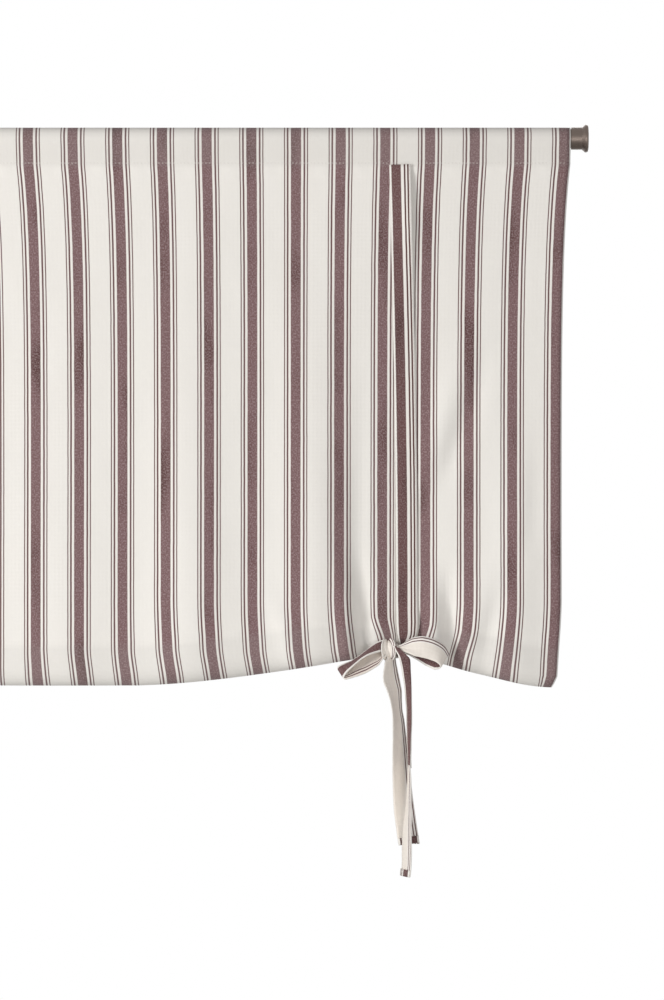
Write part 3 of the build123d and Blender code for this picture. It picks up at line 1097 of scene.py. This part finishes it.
@dataclass
class Bow:
    """The two ties of one side and the bow that joins them, in millimetres.

    A run is where a piece starts along the tie, which places its print. The wrap's start and turn are in
    degrees.
    """

    drape: Drape
    side: Side
    width: float = 22.0
    thickness: float = 1.0
    top_x: float = 426.0
    seam_overlap: float = 0.4
    strip_gap: float = 1.35
    strip_rows: int = 16
    strip_free: float = -478.0
    strip_drift: float = 7.0
    strip_step: float = 4.0
    bulge: float = 3.2
    bulge_place: float = 0.12
    bulge_half: float = 0.1
    back_gap: float = 1.4
    under_gap: float = 1.3
    back_rows: int = 13
    back_probes: tuple[float, ...] = (-11.0, -5.0, 0.0, 5.0, 11.0)
    under_width: float = 15.0
    neck_width: float = 10.0
    neck_back: float = 1.0
    knot_x: float = 414.0
    knot_z: float = -522.0
    knot_size: Place = (14.6, 8.6, 9.0)
    knot_gap: float = 1.6
    knot_lean: float = 0.06
    wrap_inset: float = 0.6
    wrap_rows: int = 25
    wrap_start: float = -100.0
    wrap_turn: float = -15.6
    wrap_shrink: float = 0.004
    wrap_narrow: float = 0.42
    loop_run: float = 560.0
    tail_run: float = 680.0
    hem_run: float = 700.0
    wrap_run: float = 540.0
    hem_gap: float = 1.15
    hem_inset: float = 0.4
    hem_cuts: int = 4

    def knot_y(self) -> float:
        """Depth of the knot's middle, in front of the tied roll."""
        cut = self.drape.cut(self.knot_x)
        return self.drape.front(self.knot_x, cut.z_roll, cut) - self.knot_gap - self.knot_size[1]

    def from_knot(self, x: float, y: float, z: float) -> Place:
        """A place measured from the knot's middle."""
        return self.knot_x + x, self.knot_y() + y, self.knot_z + z

    def front_y(self, x: float, z: float, gap: float) -> float:
        """Depth in front of the cloth over the tie's width.

        Args:
            x: the tie's middle.
            z: height.
            gap: distance from the cloth's middle layer.
        Returns:
            y in millimetres.
        """
        return min(self.drape.front_at(x + k * self.width / 4, z) for k in (-2, -1, 0, 1, 2)) - gap

    def front_strip(self) -> Band:
        """The band down the front.

        Returns:
            The band, from the seam to the knot.
        """
        rows = []
        for k in range(self.strip_rows + 1):
            share = k / self.strip_rows
            z = mix(-self.drape.seam - self.seam_overlap, self.strip_free, share)
            x = self.top_x + self.strip_drift * math.sin(share * math.pi / 2)
            bulge = self.bulge * bell((share - self.bulge_place) / self.bulge_half)
            y = self.front_y(x, z, self.strip_gap + bulge / 2)
            rows.append(Row((x, y, z), (1, -bulge / (self.width / 2), 0), self.width))
        y_free, y_knot = rows[-1].place[1], self.knot_y()
        table = (
            (19.2, 0.2, 26.0, (1, 0, 0), 22.0), (18.8, 0.5, 14.0, (1, 0.1, 0.1), 20.0),
            (15.5, 0.8, 6.0, (0.9, 0.2, 0.4), 14.0),
        )
        for x, share, z, across, width in table:
            rows.append(Row((self.knot_x + x, mix(y_free, y_knot, share), self.knot_z + z), across, width))
        rows.append(Row(self.from_knot(7.0, 1.0, 1.5), (0.7, 0.2, 0.9), 9.0))
        return Band(rows, step=self.strip_step)

    def back_strip(self) -> Band:
        """The band down the back, under the roll and up to the knot.

        Returns:
            The band.
        """
        d = self.drape
        cut = d.cut(self.knot_x)
        probes = [self.knot_x + k * self.width / 2 for k in (-1, 0, 1)]
        back = max(d.cut(x).half_depth * 2 + d.front_at(x, d.cut(x).z_roll) for x in probes) + self.back_gap
        low = min(d.cut(x).z_roll - d.cut(x).half_height for x in probes) - self.under_gap
        y_middle = back - cut.half_depth - self.back_gap
        rows = []
        for k in range(self.back_rows):
            share = k / self.back_rows
            z = mix(-d.seam - self.seam_overlap, cut.z_roll, share)
            x = mix(self.top_x, self.knot_x, share)
            sheet = max(d.front_at(x + j, z) for j in self.back_probes) + self.strip_gap + d.layer
            rows.append(Row((x, max(sheet, share * back), z), (1, 0, 0), self.width))
        for angle in (0, -30, -60, -90):
            turn = math.radians(angle)
            y = y_middle + (back - y_middle) * math.cos(turn)
            z = cut.z_roll + (cut.z_roll - low) * math.sin(turn)
            rows.append(Row((self.knot_x, y, z), (1, 0, 0), self.width))
        z_wrap = self.knot_z - self.knot_size[2] + self.wrap_inset
        y_knot = self.knot_y()
        y_under = (y_middle + y_knot) / 2
        rows.append(Row((self.knot_x, y_under, min(low, z_wrap)), (1, 0, 0), self.under_width))
        rows.append(Row((self.knot_x, y_knot + self.neck_back, z_wrap), (1, 0, 0), self.neck_width))
        return Band(rows, step=self.strip_step, flip=True)

    def edge_row(self, near: tuple[float, float], far: tuple[float, float], y: float, width: float) -> Row:
        """A row from where the band's two edges show from the front.

        Args:
            near: (x, z) of the front edge from the knot's middle.
            far: the same of the rear edge.
            y: depth of the band's middle from the knot's middle.
            width: the band's width there.
        Returns:
            The row.
        """
        dx, dz = far[0] - near[0], far[1] - near[1]
        dy = math.sqrt(max(0.0, width * width - dx * dx - dz * dz))
        place = self.from_knot((near[0] + far[0]) / 2, y, (near[1] + far[1]) / 2)
        return Row(place, (dx, dy, dz), width)

    def inner_loop(self) -> Band:
        """The loop towards the curtain's middle, of doubled band with its dark half outside.

        Returns:
            The band, out and back, near edge first.
        """
        table = (
            ((-1.5, -1.0), (-0.5, 6.5), -2.0, 9.0), ((-4.3, -2.2), (-3.0, 10.1), -3.5, 13.5),
            ((-12.8, -3.6), (-10.8, 7.3), -6.5, 13.5), ((-21.1, -5.9), (-22.0, -0.8), -8.5, 13.5),
            ((-28.7, -10.5), (-29.2, -6.5), -9.5, 13.5), ((-35.7, -16.2), (-37.9, -12.2), -10.2, 13.5),
            ((-41.5, -22.0), (-45.5, -15.0), -10.8, 13.5), ((-45.0, -27.2), (-51.0, -17.2), -11.2, 14.2),
            ((-45.8, -29.2), (-52.2, -19.2), -11.4, 14.2), ((-44.6, -30.3), (-50.4, -21.4), -11.4, 14.2),
            ((-40.4, -29.6), (-43.6, -19.6), -9.4, 17.0), ((-31.3, -27.1), (-33.2, -11.6), -8.0, 20.0),
            ((-23.0, -24.1), (-24.2, -7.4), -7.0, 20.5), ((-16.8, -20.6), (-17.4, -4.2), -6.4, 20.0),
            ((-9.7, -15.7), (-9.7, -2.6), -5.4, 17.0), ((-4.6, -7.7), (-4.1, -1.4), -4.0, 11.0),
            ((-1.0, -3.0), (-1.0, -0.5), -2.0, 8.0),
        )
        rows = [self.edge_row(*line) for line in table]
        return Band(rows, step=1.4, start=self.loop_run, flip=True, flat_width=13.0, sheared=True, slot=2)

    def outer_loop(self) -> Band:
        """The loop towards the curtain's side edge, its reverse to the room.

        Returns:
            The band, out and back, lower edge first.
        """
        table = (
            ((2.0, -2.0), (2.0, 2.5), -4.0, 7.0), ((11.5, -0.8), (11.0, 3.6), -10.0, 8.0),
            ((19.0, -3.4), (17.0, 7.3), -12.5, 13.5), ((26.0, -6.6), (24.2, 11.8), -14.5, 19.5),
            ((33.5, -8.2), (34.4, 13.6), -15.5, 22.0), ((43.0, -10.8), (46.2, 10.6), -15.0, 22.0),
            ((49.6, -13.6), (56.4, 4.2), -13.0, 22.0), ((52.6, -16.6), (61.4, -3.6), -10.2, 22.0),
            ((52.0, -19.0), (61.0, -5.6), -8.2, 22.0), ((46.5, -20.6), (54.0, -0.8), -6.2, 22.0),
            ((38.0, -17.0), (42.0, 3.6), -5.2, 21.0), ((27.0, -10.0), (28.0, 6.6), -5.4, 17.0),
            ((15.0, -3.6), (15.0, 5.2), -6.2, 11.0), ((2.0, -2.0), (2.0, 2.5), -2.5, 7.0),
        )
        rows = [self.edge_row(*line) for line in table]
        return Band(rows, step=1.6, start=self.loop_run, flip=True, sheared=True)

    def front_tail(self) -> Band:
        """The narrow tail's upper part, folded along its middle with its dark half to the room.

        Returns:
            The band, down to where it is seen edge on.
        """
        table = (
            (6.5, -6.0, 4.7, 6.0, 15, 165), (9.5, -11.5, 2.6, 8.0, 15, 166),
            (13.6, -16.0, -1.5, 13.0, 14, 168), (17.9, -18.0, -5.8, 16.8, 14, 169),
            (21.0, -17.5, -9.2, 21.5, 10, 170), (21.8, -15.8, -13.8, 22.0, 27, 171),
            (22.1, -14.0, -20.0, 22.0, 39.5, 172), (22.5, -12.4, -27.1, 22.0, 47, 172),
            (22.8, -10.5, -34.2, 22.0, 53.5, 172), (22.8, -10.0, -42.4, 22.0, 60.5, 172),
            (22.7, -10.0, -52.7, 22.0, 66, 172), (22.9, -10.0, -66.0, 22.0, 70, 172),
            (22.0, -11.0, -92.0, 22.0, 76, 172), (21.2, -12.0, -121.0, 22.0, 88, 172),
        )
        return self.tail(table, False)

    def front_tail_end(self) -> Band:
        """The narrow tail's lower part, opened out and turned over.

        Returns:
            The band, from where the tail is seen edge on.
        """
        table = (
            (20.9, -7.0, -118.0, 12.0, 87, 0), (20.8, -8.5, -130.0, 15.0, 83, 0),
            (20.4, -10.5, -140.6, 18.0, 80, 0), (19.9, -12.5, -157.0, 22.0, 79, 0),
            (18.5, -12.5, -179.5, 22.0, 69.8, 0), (17.9, -12.5, -199.0, 22.0, 65.8, 0),
            (17.7, -12.5, -218.5, 22.0, 66.4, 0), (16.6, -12.5, -231.0, 22.0, 66, 0),
        )
        return replace(self.tail(table, True), cup=-1.2)

    def back_tail(self) -> Band:
        """The broad tail that shows the band's reverse.

        Returns:
            The band.
        """
        table = (
            (3.0, 0.5, -3.0, 8.0, -40, 0), (3.0, -1.0, -7.0, 9.0, -43, 0),
            (1.8, -2.0, -11.75, 13.6, -41, 0), (1.8, -3.0, -19.0, 18.0, -43, 0),
            (2.0, -3.4, -27.1, 22.0, -43.7, 0), (3.2, -3.4, -34.2, 22.0, -40.6, 0),
            (5.6, -3.0, -42.4, 22.0, -47.4, 0), (7.2, -2.0, -52.7, 22.0, -58.2, 0),
            (8.4, -1.0, -62.9, 22.0, -61.8, 0), (9.8, 0.2, -74.0, 22.0, -58, 0),
            (11.6, 2.0, -104.0, 22.0, -45, 0), (13.4, 2.6, -136.0, 22.0, -32, 0),
            (16.2, 2.6, -166.0, 22.0, -14, 0), (21.0, 2.6, -199.0, 22.0, -4, 0),
        )
        return self.tail(table, True)

    def tail(self, table: tuple[tuple[float, ...], ...], flip: bool) -> Band:
        """A tail from a table of (x, y, z, width, turn, fold).

        Args:
            table: its rows, from the knot's middle.
            flip: whether its reverse shows.
        Returns:
            The band.
        """
        rows = [
            Row(self.from_knot(x, y, z), (math.cos(math.radians(t)), -math.sin(math.radians(t)), 0), w, f)
            for x, y, z, w, t, f in table
        ]
        return Band(rows, step=2.4, start=self.tail_run, cup=0.8, flip=flip, sheared=True)

    def end_hem(self, tail: Band) -> Band:
        """The turned-up end of a tail, sewn on its reverse.

        Args:
            tail: the tail.
        Returns:
            A short band.
        """
        off = self.hem_gap if tail.flip else -self.hem_gap
        rows = []
        for place, across, out, size, _ in tail.frames()[-self.hem_cuts:]:
            rows.append(Row(tuple(place + out * off), tuple(across), size.x - self.hem_inset))
        return Band(rows, start=self.hem_run, cup=tail.cup, flip=not tail.flip, print_turned=True)

    def wrap(self) -> Band:
        """The knot's wrap round the bundle.

        Returns:
            The band.
        """
        rows = []
        width, deep, high = self.knot_size
        for k in range(self.wrap_rows):
            angle = math.radians(self.wrap_start + self.wrap_turn * k)
            size = 1 - self.wrap_shrink * k
            rise = high * size * math.sin(angle)
            place = self.from_knot(-self.knot_lean * rise, deep * size * math.cos(angle), rise)
            front = max(0.0, -math.cos(angle))
            rows.append(Row(place, (1, 0, self.knot_lean), width * mix(self.wrap_narrow, 1.0, front)))
        return Band(rows, step=1.2, start=self.wrap_run, cup=-3.6, ruffle=1.5, drift=0.16, columns=16)

    def build(self) -> dict[str, bpy.types.Object]:
        """Make the ties' meshes.

        Returns:
            The front and the back tie.
        """
        narrow, broad = self.front_tail_end(), self.back_tail()
        front = [self.front_strip(), self.inner_loop(), self.front_tail(), narrow, self.end_hem(narrow)]
        back = [self.back_strip(), self.outer_loop(), broad, self.wrap(), self.end_hem(broad)]
        made = {}
        for name, bands in (("front_tie", front), ("back_tie", back)):
            grids = [band.grid(self.side.value) for band in bands]
            made[name] = new_sheet(f"{self.side.label}_{name}_cloth", grids)
        return made

    def dress(self, made: dict[str, bpy.types.Object], finishes: list[bpy.types.Material]) -> None:
        """Give the ties their finish and thickness, hang them on the curtain and hide their solids.

        Args:
            made: the ties.
            finishes: striped side and plain side, and for the doubled loop the striped side and its inside, in
                a darker cream as painted shade.
        """
        for name, obj in made.items():
            for finish in finishes:
                obj.data.materials.append(finish)
            thicken(obj, self.thickness * MM, 1)
            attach(obj, "curtain")
            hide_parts(f"{self.side.label}_{name}")


@dataclass
class Stitching:
    """Sewing thread: along the pocket's seam, and down both edges of the front ties."""

    drape: Drape
    length: float = 2.3
    thick: float = 0.5
    segments: int = 6
    rings: int = 4
    pitch: float = 3.7
    seam_up: float = 1.1
    seam_margin: float = 6.0
    seam_out: float = 0.495
    edge_in: float = 1.6
    edge_lead: float = 2.0
    edge_out: float = 0.55

    def stitch(self, name: str, place: Place, upright: bool) -> bpy.types.Object:
        """One stitch: a ball drawn out along its thread, its ends sunk in the cloth.

        Args:
            name: the piece's name.
            place: its middle, in millimetres.
            upright: whether it runs up and down.
        Returns:
            The object.
        """
        bpy.ops.object.select_all(action="DESELECT")
        bpy.ops.mesh.primitive_uv_sphere_add(segments=self.segments, ring_count=self.rings, radius=MM / 2)
        obj = bpy.context.active_object
        obj.name = name
        slim = self.thick
        obj.scale = (slim, slim, self.length) if upright else (self.length, slim, slim)
        obj.location = Vector(place) * MM
        bpy.ops.object.transform_apply(location=True, rotation=True, scale=True)
        bpy.ops.object.shade_smooth()
        return obj

    def repeat(self, obj: bpy.types.Object, count: int, step: Place) -> None:
        """Copy a stitch in a row.

        Args:
            obj: the stitch.
            count: number of stitches.
            step: from one to the next, in millimetres.
        """
        row = obj.modifiers.new("row", "ARRAY")
        row.count = count
        row.use_relative_offset = False
        row.use_constant_offset = True
        row.constant_offset_displace = Vector(step) * MM
        bpy.context.view_layer.objects.active = obj
        bpy.ops.object.modifier_apply(modifier=row.name)

    def seam(self, cloth: float) -> bpy.types.Object:
        """The pocket's seam, front and back.

        Args:
            cloth: the cloth's thickness.
        Returns:
            One object with both rows.
        """
        count = int((self.drape.width - self.seam_margin) / self.pitch)
        start = -self.pitch * (count - 1) / 2
        made = []
        for face in (-1, 1):
            y = face * (self.drape.layer + cloth / 2 + self.seam_out)
            obj = self.stitch("seam_stitches", (start, y, -self.drape.seam + self.seam_up), False)
            self.repeat(obj, count, (self.pitch, 0, 0))
            made.append(obj)
        return self.joined(made)

    def tie(self, bow: Bow) -> bpy.types.Object:
        """Both edges of a front tie's hanging run.

        Args:
            bow: the tie's side.
        Returns:
            One object with both rows.
        """
        strip = bow.front_strip()
        frames = [cut for cut in strip.frames() if cut[0].z > bow.strip_free]
        z_top = frames[0][0].z
        count = int((z_top - frames[-1][0].z) / self.pitch)
        made = []
        for edge in (-1, 1):
            share = edge * (1 - 2 * self.edge_in / bow.width)
            obj = self.stitch(f"{bow.side.label}_tie_stitches", (0, 0, 0), True)
            self.repeat(obj, count, (0, 0, -self.pitch))
            for vertex in obj.data.vertices:
                z = z_top - self.edge_lead + vertex.co.z / MM
                nearest = min(frames, key=lambda cut: abs(cut[0].z - z))
                spot = strip.point(nearest, share)
                vertex.co.x += spot.x * bow.side.value * MM
                vertex.co.y += (spot.y - self.edge_out) * MM
                vertex.co.z = z * MM
            made.append(obj)
        return self.joined(made)

    def joined(self, objects: list[bpy.types.Object]) -> bpy.types.Object:
        """Several rows as one object.

        Args:
            objects: the rows.
        Returns:
            The first, with the others in it.
        """
        bpy.ops.object.select_all(action="DESELECT")
        for obj in objects:
            obj.select_set(True)
        bpy.context.view_layer.objects.active = objects[0]
        bpy.ops.object.join()
        return objects[0]

    def dress(self, obj: bpy.types.Object, thread: bpy.types.Material, slot: str) -> None:
        """Give the thread its finish, and hang it on the curtain.

        Args:
            obj: the stitches.
            thread: their material.
            slot: the cloth they are sewn in; not used.
        """
        obj.data.materials.append(thread)
        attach(obj, "curtain")


@dataclass(frozen=True)
class Lamp:
    """A soft square lamp: its place and its side in metres, and its power in watts."""

    name: str
    place: Place
    size: float
    power: float


@dataclass
class Studio:
    """Camera, lamps, floor and world, in metres."""

    distance: float = 5.0
    frame_height: float = 1.0235
    sensor: float = 36.0
    centre: tuple[float, float] = (0.3564, -0.3700)
    aim: Place = (0.1, 0.0, -0.3)
    lamps: tuple[Lamp, ...] = (
        Lamp("key", (-2.5, -2.1, 0.2), 1.3, 86),
        Lamp("fill", (1.6, -3.0, -0.5), 1.8, 33),
        Lamp("rear", (0.4, 2.8, 0.6), 2.0, 34),
    )
    floor_z: float = -1.25
    floor_size: float = 3.0
    floor_colours: tuple[Colour, Colour] = ((0.82, 0.82, 0.81), (0.86, 0.86, 0.85))
    floor_grain: Grain = Grain(6)
    floor_roughness: float = 0.85
    ambient: float = 0.27

    def camera(self) -> None:
        """Set the photograph's camera: straight on and level."""
        data = bpy.data.cameras.new("camera")
        data.sensor_width = self.sensor
        data.lens = self.sensor * self.distance / self.frame_height
        obj = bpy.data.objects.new("camera", data)
        bpy.context.scene.collection.objects.link(obj)
        obj.location = (self.centre[0], -self.distance, self.centre[1])
        obj.rotation_euler = (math.pi / 2, 0, 0)
        bpy.context.scene.camera = obj

    def light(self, lamp: Lamp) -> None:
        """Add a lamp, aimed at the curtain.

        Args:
            lamp: what it is.
        """
        data = bpy.data.lights.new(lamp.name, "AREA")
        data.size = lamp.size
        data.energy = lamp.power
        obj = bpy.data.objects.new(lamp.name, data)
        bpy.context.scene.collection.objects.link(obj)
        obj.location = lamp.place
        aim = Vector(self.aim) - Vector(lamp.place)
        obj.rotation_euler = aim.to_track_quat("-Z", "Y").to_euler()

    def floor(self) -> None:
        """A plain pale floor under the hanging curtain."""
        bpy.ops.object.select_all(action="DESELECT")
        bpy.ops.mesh.primitive_plane_add(size=self.floor_size, location=(0, 0, self.floor_z))
        obj = bpy.context.active_object
        obj.name = "floor"
        bpy.ops.object.transform_apply(location=True, rotation=True, scale=True)
        t = NodeTree("pale_floor")
        where = t.add("ShaderNodeTexCoord").outputs["Object"]
        t.link(t.blend(t.noise(self.floor_grain, where), *self.floor_colours), t.shader.inputs["Base Color"])
        t.shader.inputs["Roughness"].default_value = self.floor_roughness
        obj.data.materials.append(t.material)

    def world(self) -> None:
        """White to the eye and in reflections, soft grey as light."""
        world = bpy.data.worlds.new("studio")
        bpy.context.scene.world = world
        world.use_nodes = True
        tree = world.node_tree
        back = tree.nodes["Background"]
        back.inputs["Color"].default_value = (1, 1, 1, 1)
        path = tree.nodes.new("ShaderNodeLightPath")
        seen = path.outputs["Is Camera Ray"]
        for ray in ("Is Glossy Ray", "Is Transmission Ray"):
            join = tree.nodes.new("ShaderNodeMath")
            join.operation = "MAXIMUM"
            tree.links.new(seen, join.inputs[0])
            tree.links.new(path.outputs[ray], join.inputs[1])
            seen = join.outputs[0]
        level = tree.nodes.new("ShaderNodeMapRange")
        level.inputs["To Min"].default_value = self.ambient
        level.inputs["To Max"].default_value = 1.0
        tree.links.new(seen, level.inputs["Value"])
        tree.links.new(level.outputs[0], back.inputs["Strength"])

    def build(self) -> None:
        """Set the whole studio."""
        self.camera()
        for lamp in self.lamps:
            self.light(lamp)
        self.floor()
        self.world()
        bpy.context.scene.view_settings.view_transform = "Standard"


def dress_metal(nodes: dict[str, bpy.types.Object]) -> None:
    """Give the rod and its caps their finish.

    Args:
        nodes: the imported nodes.
    """
    metal = MetalFinish("dark_nickel").material()
    for name in ("curtain_rod", "right_end_cap", "left_end_cap"):
        obj = nodes[name]
        obj.data.materials.clear()
        obj.data.materials.append(metal)


def tie_finishes() -> list[bpy.types.Material]:
    """The ties' cloth.

    Returns:
        Striped side and plain side, and for the doubled loop the striped side and its inside, in a darker
        cream as painted shade.
    """
    unprinted = (0.03, 0.0)
    pale_side = 0.0155
    face = ClothFinish(
        "tie_face", plum=(0.116, 0.050, 0.049), wear=0.25, repeats=False, dark=(0.00683, 0.00497),
        lines=((0.01555, 0.00095), (0.01895, 0.00095)),
    ).material()
    reverse = ClothFinish(
        "tie_reverse", cream=(0.86, 0.795, 0.725), repeats=False, dark=unprinted, pale_from=pale_side,
        pale=(0.86, 0.82, 0.77), lines=((0.0174, 0.0007), (0.0203, 0.0007)),
    ).material()
    # the loop's inside: the plain cream darkened as painted shade, with two thin lines near one edge
    shaded_inside = ClothFinish(
        "tie_inside_painted_shade", cream=(0.80, 0.73, 0.66), repeats=False, dark=unprinted, pale_from=pale_side,
        lines=((0.0021, 0.0006), (0.0041, 0.0005)),
    ).material()
    return [face, reverse, face, shaded_inside]


def main() -> None:
    """Build every piece in order."""
    logging.basicConfig(level=logging.INFO, format="%(name)s: %(message)s")
    for obj in list(bpy.data.objects):
        bpy.data.objects.remove(obj)
    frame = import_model()
    drape = Drape()
    panel = CurtainPanel(drape)
    # the panel's cloth, with painted shade where more cloth lies behind it
    panel.dress(panel.build(), ClothFinish("ticking_cloth", backed=0.11))
    bands = tie_finishes()
    thread = ThreadFinish("sewing_thread").material()
    stitching = Stitching(drape)
    stitching.dress(stitching.seam(panel.cloth), thread, "panel_cloth")
    for side in Side:
        bow = Bow(drape, side)
        bow.dress(bow.build(), bands)
        stitching.dress(stitching.tie(bow), thread, "tie_cloth")
    dress_metal(frame["nodes"])
    Studio().build()


if __name__ == "__main__":
    main()
